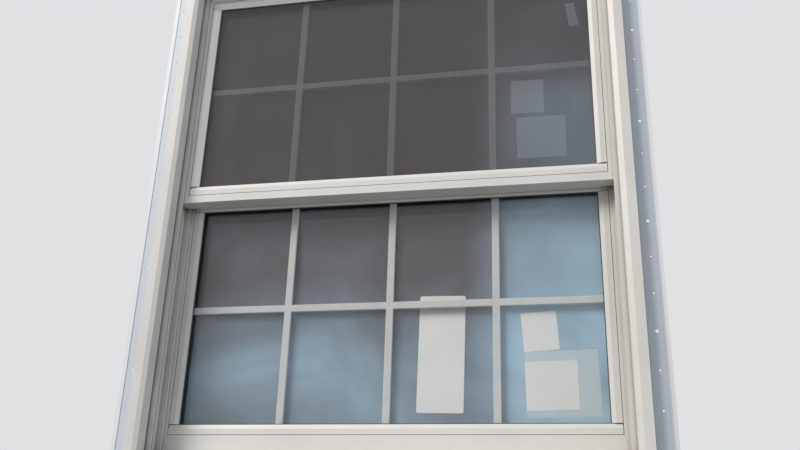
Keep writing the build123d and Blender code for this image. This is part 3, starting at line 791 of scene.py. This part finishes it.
class Finishes:
    """Every finish of the window, made once and given to the nodes by their names."""

    def __init__(self) -> None:
        """Make the materials."""
        self.by_key: dict[str, bpy.types.Material] = {
            **self.vinyls(), **self.panes(), **self.fittings()}

    @staticmethod
    def vinyls() -> dict[str, bpy.types.Material]:
        """Make the vinyl of the frame and of the sashes, for each way that members run.

        Returns:
            The materials by their keys.
        """
        frame_vinyl = Vinyl()
        sash_vinyl = Vinyl(colour=(0.68, 0.665, 0.63), shade=(0.60, 0.58, 0.54), dirt_and_shade=0.85)
        made = {}
        for run in Run:
            way = run.name.lower()
            made[f"frame_{way}"] = frame_vinyl.material(f"frame_vinyl_{way}", run, finned=True)
            made[f"sash_{way}"] = sash_vinyl.material(f"sash_vinyl_{way}", run, finned=False)
        return made

    @staticmethod
    def panes() -> dict[str, bpy.types.Material]:
        """Make the four panes' glass.

        Returns:
            The materials by the panes' nodes.
        """
        # Shade and glow are painted: the dark room behind each pane and the sky mirrored in it.
        glasses = (
            Glass(Sash.UPPER, inner=False, film=0.64, shade=(0.072, 0.062, 0.062),
                  glow=(0.20, 0.26, 0.31)),
            Glass(Sash.UPPER, inner=True, film=0.95, shade=(0.080, 0.066, 0.064),
                  glow=(0.18, 0.245, 0.30)),
            Glass(Sash.LOWER, inner=False, film=0.09, shade=(0.10, 0.10, 0.105),
                  glow=(0.48, 0.60, 0.70)),
            Glass(Sash.LOWER, inner=True, film=0.95, shade=(0.076, 0.066, 0.069),
                  glow=(0.35, 0.54, 0.68)),
        )
        return {f"{glass.name}_pane": glass.material() for glass in glasses}

    @staticmethod
    def fittings() -> dict[str, bpy.types.Material]:
        """Make the finishes of the small pieces and of the paper.

        Returns:
            The materials by their keys.
        """
        finishes = {
            "spacer": Plain("spacer", (0.20, 0.19, 0.145), (0.15, 0.14, 0.105),
                            roughness=0.5, grain=900.0, relief=0.04 * MM),
            "bars": Plain("bar_paint", (0.66, 0.66, 0.64), (0.60, 0.60, 0.59),
                          roughness=0.35, grain=1200.0, relief=0.02 * MM),
            "paper": Plain("paper", (0.90, 0.90, 0.88), (0.85, 0.85, 0.84),
                           roughness=0.75, grain=1800.0, relief=0.03 * MM),
            # Paper with a painted blue cast of skylight, for the labels behind the upper panes.
            "sky_tinted_paper": Plain("sky_tinted_paper", (0.81, 0.92, 0.98), (0.77, 0.87, 0.93),
                                roughness=0.75, grain=1800.0, relief=0.03 * MM),
            "backing": Plain("backing_paper", (0.61, 0.72, 0.76), (0.56, 0.67, 0.71),
                             roughness=0.6, grain=1500.0, relief=0.03 * MM),
            "pile": Plain("pile", (0.30, 0.30, 0.31), (0.42, 0.42, 0.42),
                          roughness=0.95, grain=2600.0, relief=0.4 * MM, stretch=(1.0, 1.0, 0.4)),
            "rubber": Plain("rubber", (0.060, 0.058, 0.050), (0.085, 0.082, 0.072),
                            roughness=0.6, grain=1100.0, relief=0.05 * MM),
            "nylon": Plain("nylon", (0.72, 0.72, 0.68), (0.66, 0.66, 0.62),
                           roughness=0.45, grain=1300.0, relief=0.03 * MM),
            "cord": Plain("cord", (0.66, 0.64, 0.58), (0.56, 0.54, 0.49),
                          roughness=0.85, grain=2200.0, relief=0.3 * MM),
            "steel": Plain("zinc_steel", (0.52, 0.52, 0.53), (0.60, 0.60, 0.60),
                           roughness=0.32, grain=1500.0, relief=0.02 * MM, metallic=1.0),
            "lock": Plain("lock_paint", (0.70, 0.68, 0.63), (0.62, 0.60, 0.56),
                          roughness=0.35, grain=700.0, relief=0.05 * MM),
            "latch": Plain("latch_plastic", (0.71, 0.69, 0.64), (0.63, 0.61, 0.57),
                           roughness=0.45, grain=900.0, relief=0.04 * MM),
        }
        return {key: finish.material() for key, finish in finishes.items()}

    @staticmethod
    def key_for(node: str, slot: str) -> str:
        """Return the key of the finish that a node wears.

        Args:
            node: The node's name.
            slot: Its material slot in the record.

        Returns:
            A key of by_key.
        """
        if slot == "glass":
            return node
        if slot == "frame_vinyl":
            return "frame_upright" if "jamb" in node else "frame_level"
        if slot == "sash_vinyl":
            upright = any(word in node for word in ("stile", "bead_left", "bead_right", "stops"))
            return "sash_upright" if upright else "sash_level"
        return slot


@dataclass
class Members:
    """The carried-over nodes: each gets its finish and, where it is hard-edged, soft arrises."""

    finishes: Finishes
    arris: float = 0.45 * MM
    arris_steps: int = 2
    flat_below: float = 1.0
    edge_above: float = 40.0
    hard_edged: tuple[str, ...] = ("frame_vinyl", "sash_vinyl", "lock", "latch", "nylon")

    def build(self) -> None:
        """Dress every node of the frame."""
        slots = {part["node"]: part["material_slot"] for part in frame["record"]["subparts"]}
        for name, piece in frame["nodes"].items():
            key = self.finishes.key_for(name, slots[name])
            piece.data.materials.clear()
            piece.data.materials.append(self.finishes.by_key[key])
            if slots[name] in self.hard_edged:
                self.round(piece)
            LOG.info("%s: %s", name, key)

    def round(self, piece: bpy.types.Object) -> None:
        """Give a node's outer edges a small round, with modifiers only.

        Args:
            piece: The node's object.
        """
        weld = piece.modifiers.new("weld", "WELD")
        weld.merge_threshold = SAME_POINT
        flat = piece.modifiers.new("flat", "DECIMATE")
        flat.decimate_type = "DISSOLVE"
        flat.angle_limit = math.radians(self.flat_below)
        bevel = piece.modifiers.new("arris", "BEVEL")
        bevel.width = self.arris
        bevel.segments = self.arris_steps
        bevel.limit_method = "ANGLE"
        bevel.angle_limit = math.radians(self.edge_above)
        bevel.harden_normals = True


@dataclass
class Labels:
    """The paper labels of one sash, kept blank, as thin sheets with round corners.

    Each lies a gap off the pane, and its upper right corner curls away from it. curl_from is
    where the curl starts on the way from the label's centre, at 0, to that corner, at 1.
    """

    sash: Sash
    gap: float = 0.05 * MM
    thick: float = 0.12 * MM
    curl: float = 4 * MM
    curl_from: float = 0.72

    def sheet(self, mesh: bmesh.types.BMesh, label: Label, pane_y: float) -> None:
        """Add one sheet to a mesh.

        Args:
            mesh: The mesh that it is added to.
            label: The label's size and place.
            pane_y: The depth of the pane's indoor face.
        """
        turn = Matrix.Rotation(math.radians(label.turn), 4, "Y")
        rows = []
        for z_flat in label.steps(label.height):
            row = []
            for x_flat in label.steps(label.width):
                to_corner = x_flat / label.width + z_flat / label.height
                lift = self.curl * max(0.0, to_corner - self.curl_from) ** 2
                x, z = label.rounded(x_flat, z_flat)
                spot = turn @ Vector((x, 0, z))
                depth = pane_y + self.gap + label.behind + lift
                row.append(mesh.verts.new((label.x + spot.x, depth, label.z + spot.z)))
            rows.append(row)
        for lower, upper in zip(rows, rows[1:]):
            for left in range(len(lower) - 1):
                face = mesh.faces.new((lower[left], lower[left + 1],
                                       upper[left + 1], upper[left]))
                face.material_index = int(label.backing)
                face.smooth = True

    def build(self, finish: bpy.types.Material,
              backing_finish: bpy.types.Material) -> bpy.types.Object:
        """Build the sheets over the sash's label node and let them ride on the sash.

        Args:
            finish: The labels' material.
            backing_finish: The backing sheet's material.

        Returns:
            The piece.
        """
        node = f"{self.sash}_labels"
        mesh = bmesh.new()
        for label in LABELS[self.sash]:
            self.sheet(mesh, label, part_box(f"{self.sash}_inner_pane")[1].y)
        piece = put_mesh(f"{node}_sheets", mesh, finish, backing_finish)
        body = piece.modifiers.new("thickness", "SOLIDIFY")
        body.thickness = self.thick
        body.offset = -1.0
        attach(piece, f"{self.sash}_sash")
        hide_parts(node)
        return piece


@dataclass(frozen=True)
class Spot:
    """The point under a screw's head, and which way its head faces along its axis, 1 or -1."""

    under_head: Vector
    facing: float


@dataclass
class Screws:
    """One group of pan-head screws with cross recesses, in place of its plain solids.

    crown holds the points of the head's round: the share of its radius, and how far each is
    below the top. root is the share of the shank's radius that the thread leaves. In the recess
    arm_share is how far the arms reach towards its rim, and floor_share how far the walls lean
    in. Each screw is turned by turn_each radians from the one before.
    """

    node: str
    body: str
    axis: Axis
    spots: tuple[Spot, ...]
    length: float
    head_r: float = 3.0 * MM
    head_h: float = 1.3 * MM
    crown: tuple[tuple[float, float], ...] = ((0.72, 0.08 * MM), (0.92, 0.30 * MM),
                                              (1.0, 0.62 * MM))
    brim: float = 0.12 * MM
    shank_r: float = 1.55 * MM
    root: float = 0.72
    pitch: float = 0.9 * MM
    tip: float = 0.1 * MM
    tip_share: float = 0.7
    recess_r: float = 1.7 * MM
    recess_half: float = 0.32 * MM
    recess_deep: float = 0.75 * MM
    arm_share: float = 0.86
    floor_share: float = 0.7
    turn_each: float = 0.6
    around: int = 40

    @classmethod
    def all_groups(cls) -> list["Screws"]:
        """Return the window's groups of screws, placed from the plain solids."""
        return [cls.from_node("lock_screws", "lower_sash", Axis.Z),
                cls.from_node("keeper_screws", "upper_sash", Axis.Z),
                cls.from_node("clip_screws", "frame", Axis.X)]

    @classmethod
    def from_node(cls, node: str, body: str, axis: Axis) -> "Screws":
        """Read a group of screws from its node's separate solids.

        A screw along Z has its head on top, and one along X has it towards the middle of the
        window.

        Args:
            node: The node's name.
            body: The body that it rides on.
            axis: The axis that the screws lie along.

        Returns:
            The group.
        """
        mesh = bmesh.new()
        mesh.from_mesh(frame["nodes"][node].data)
        bmesh.ops.remove_doubles(mesh, verts=mesh.verts, dist=SAME_POINT)
        boxes = solid_boxes(mesh)
        mesh.free()
        spots = []
        for low, high in boxes:
            spot = (low + high) / 2
            facing = -1.0 if axis is Axis.X and spot.x > 0 else 1.0
            top = high if facing > 0 else low
            spot[axis.value] = top[axis.value] - facing * cls.head_h
            spots.append(Spot(spot, facing))
        low, high = boxes[0]
        length = high[axis.value] - low[axis.value] - cls.head_h
        return cls(node, body, axis, tuple(spots), length)

    def profile(self) -> list[tuple[float, float]]:
        """Work out the outline that a screw is turned from.

        Returns:
            The radius and height of each ring, from the head's top to the tip.
        """
        points = [(self.recess_r, self.head_h)]
        points += [(self.head_r * share, self.head_h - below) for share, below in self.crown]
        points += [(self.head_r, self.brim), (self.head_r - self.brim, 0.0), (self.shank_r, 0.0)]
        for turn in range(int(self.length / self.pitch)):
            down = -turn * self.pitch
            # A crest, the root below it and the next crest, as long as the tip is left plain.
            if down - self.pitch > -self.length + 2 * self.tip:
                points += [(self.shank_r, down - 0.25 * self.pitch),
                           (self.shank_r * self.root, down - 0.65 * self.pitch),
                           (self.shank_r, down - self.pitch)]
        return points + [(self.shank_r * self.tip_share, self.tip - self.length),
                         (0.0, -self.length)]

    def recess(self, mesh: bmesh.types.BMesh, place: Matrix,
               rim: list[bmesh.types.BMVert]) -> None:
        """Close a head's top with a cross-shaped recess.

        Args:
            mesh: The mesh that it is added to.
            place: The screw's place.
            rim: The ring of vertices round the top.
        """
        edge, floor = [], []
        arm = self.recess_r * self.arm_share
        for step in range(self.around):
            turn = 2 * math.pi * step / self.around
            off_arm = min(abs(math.cos(turn)), abs(math.sin(turn)))
            reach = self.recess_half / off_arm if off_arm * arm > self.recess_half else arm
            x, y = reach * math.cos(turn), reach * math.sin(turn)
            edge.append(mesh.verts.new(place @ Vector((x, y, self.head_h))))
            floor.append(mesh.verts.new(place @ Vector((
                x * self.floor_share, y * self.floor_share, self.head_h - self.recess_deep))))
        for step in range(self.around):
            after = (step + 1) % self.around
            mesh.faces.new((rim[after], edge[after], edge[step], rim[step]))
            mesh.faces.new((edge[after], floor[after], floor[step], edge[step]))
        mesh.faces.new(list(reversed(floor)))

    def build(self, finish: bpy.types.Material) -> bpy.types.Object:
        """Build the group and let it ride on its body.

        Args:
            finish: The screws' material.

        Returns:
            The piece.
        """
        mesh = bmesh.new()
        for number, spot in enumerate(self.spots):
            place = Matrix.Translation(spot.under_head)
            if self.axis is Axis.X:
                place = place @ Matrix.Rotation(math.radians(90.0 * spot.facing), 4, "Y")
            place = place @ Matrix.Rotation(self.turn_each * number, 4, "Z")
            rings = lathe(mesh, place, self.profile(), self.around)
            self.recess(mesh, place, rings[0])
        bmesh.ops.recalc_face_normals(mesh, faces=mesh.faces)
        piece = put_mesh(f"{self.node}_turned", mesh, finish)
        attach(piece, self.body)
        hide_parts(self.node)
        return piece


@dataclass
class Cords:
    """The two balance cords of one sash, straight, with a whipping at each end.

    The cord is drawn into its balance as the sash nears the clip. There are no vertices between
    the two whippings that could fold up.
    """

    sash: Sash
    around: int = 24
    whipping: float = 5 * MM
    taper: float = 0.4 * MM
    waist: float = 0.88
    tip: float = 0.7

    def profile(self, low: float, high: float, radius: float) -> list[tuple[float, float]]:
        """Return the radius and height of each ring, from the clip's end to the balance's.

        Args:
            low: The height of the end at the balance.
            high: The height of the end at the clip.
            radius: The radius of the whippings.

        Returns:
            The rings in order.
        """
        ends = [(radius * self.tip, 0.0), (radius, self.taper), (radius, self.whipping),
                (radius * self.waist, self.whipping + self.taper)]
        return ([(ring, high - inward) for ring, inward in ends]
                + [(ring, low + inward) for ring, inward in reversed(ends)])

    def build(self, finish: bpy.types.Material) -> bpy.types.Object:
        """Build the two cords in place of their plain node.

        Args:
            finish: The cords' material.

        Returns:
            The piece.
        """
        node = f"{self.sash}_cords"
        low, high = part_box(node)
        radius = (high.y - low.y) / 2
        mesh = bmesh.new()
        for side in (-1.0, 1.0):
            foot = Vector((side * (high.x - radius), (low.y + high.y) / 2, 0.0))
            rings = lathe(mesh, Matrix.Translation(foot), self.profile(low.z, high.z, radius),
                          self.around, smooth=True)
            mesh.faces.new(rings[0])
            mesh.faces.new(list(reversed(rings[-1])))
        bmesh.ops.recalc_face_normals(mesh, faces=mesh.faces)
        piece = put_mesh(f"{node}_drawn", mesh, finish)
        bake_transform(piece)
        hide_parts(node)
        return piece


@dataclass(frozen=True)
class Lamp:
    """A distant soft lamp, which lights the floor evenly.

    towards is the way from the window to the lamp. strength is in watts to the square metre.
    spread is its width in degrees as seen from the window, which softens its shadows.
    """

    name: str
    towards: Point
    strength: float
    spread: float
    colour: Colour

    def hang(self) -> None:
        """Add the lamp to the scene."""
        light = bpy.data.lights.new(self.name, "SUN")
        light.energy = self.strength
        light.angle = math.radians(self.spread)
        light.color = self.colour
        piece = put(self.name, light)
        piece.location = self.towards
        piece.rotation_euler = (-piece.location).to_track_quat("-Z", "Y").to_euler()


@dataclass
class Studio:
    """Pale floor, plain soft light, pale background and the camera at the photo's angle.

    The lamps are a warm key to the upper left, a cool fill to the right and one behind. The
    camera's place is in metres, its turns are in radians, and its lens and sensor in mm.
    """

    floor_z: float = -0.90
    floor_half: float = 60.0
    pale: Colour = (0.575, 0.588, 0.60)
    bounce: Colour = (0.27, 0.27, 0.27)
    backdrop: Colour = (0.74, 0.755, 0.77)
    glow: Colour = (0.80, 0.88, 1.0)
    glow_strength: float = 0.42
    lamps: tuple[Lamp, ...] = (
        Lamp("key", (-3.6, -3.6, 4.2), 2.85, 26.0, (1.0, 0.965, 0.92)),
        Lamp("fill", (4.6, -2.4, 1.2), 0.55, 30.0, (0.86, 0.93, 1.0)),
        Lamp("behind", (1.8, 3.2, 2.2), 1.5, 25.0, (1.0, 0.98, 0.95)))
    place: Point = (0.3991, -1.7039, -0.7965)
    yaw: float = -0.2121
    pitch: float = 0.3827
    roll: float = 0.0319
    lens: float = 39.196
    sensor: float = 36.0
    nearest: float = 10 * MM

    def build(self) -> None:
        """Build the floor, the world, the lamps and the camera."""
        self.floor()
        self.world()
        for lamp in self.lamps:
            lamp.hang()
        self.camera()

    def floor(self) -> None:
        """Lay a plain pale floor that throws little of its light back up."""
        mesh = bpy.data.meshes.new("floor")
        corners = [(x * self.floor_half, y * self.floor_half, self.floor_z)
                   for x, y in ((-1, -1), (1, -1), (1, 1), (-1, 1))]
        mesh.from_pydata(corners, [], [(0, 1, 2, 3)])
        piece = put("floor", mesh)
        shader = Shader("floor_paint")
        mesh.materials.append(shader.dress(
            Base_Color=shader.mix(shader.seen(), self.bounce, self.pale), Roughness=0.8))

    def world(self) -> None:
        """Set a plain cool light, and a pale background for what sees it directly."""
        world = bpy.data.worlds.new("studio")
        bpy.context.scene.world = world
        nodes = Nodes(world)
        light = nodes.node("ShaderNodeBackground", inputs={
            "Color": self.glow, "Strength": self.glow_strength})
        back = nodes.node("ShaderNodeBackground", inputs={
            "Color": self.backdrop, "Strength": 1.0})
        either = nodes.node("ShaderNodeMixShader", inputs={
            0: nodes.seen(), 1: light.outputs["Background"], 2: back.outputs["Background"]})
        nodes.node("ShaderNodeOutputWorld", inputs={"Surface": either.outputs["Shader"]})

    def camera(self) -> None:
        """Stand the camera where the photo was taken from."""
        data = bpy.data.cameras.new("camera")
        data.lens = self.lens
        data.sensor_width = self.sensor
        data.clip_start = self.nearest
        piece = put("camera", data)
        ahead = Vector((math.sin(self.yaw) * math.cos(self.pitch),
                        math.cos(self.yaw) * math.cos(self.pitch), math.sin(self.pitch)))
        right = Vector((math.cos(self.yaw), -math.sin(self.yaw), 0.0))
        up = right.cross(ahead)
        rolled_right = math.cos(self.roll) * right + math.sin(self.roll) * up
        rolled_up = math.cos(self.roll) * up - math.sin(self.roll) * right
        turn = Matrix((rolled_right, rolled_up, -ahead)).transposed().to_4x4()
        piece.matrix_world = Matrix.Translation(Vector(self.place)) @ turn
        bpy.context.scene.camera = piece


def main() -> None:
    """Build the window's looks and its setting."""
    logging.basicConfig(level=logging.INFO, format="%(name)s %(message)s")
    bpy.context.scene.view_settings.view_transform = "Standard"
    finishes = Finishes()
    Members(finishes).build()
    finish = finishes.by_key
    # The upper labels wear paper with a painted blue cast of skylight.
    drawn = [Labels(Sash.UPPER).build(finish["sky_tinted_paper"], finish["backing"]),
             Labels(Sash.LOWER).build(finish["paper"], finish["backing"])]
    drawn += [screws.build(finish["steel"]) for screws in Screws.all_groups()]
    drawn += [Cords(sash).build(finish["cord"]) for sash in Sash]
    for piece in drawn:
        LOG.info("%s: %d faces", piece.name, len(piece.data.polygons))
    Studio().build()


if __name__ == "__main__":
    main()
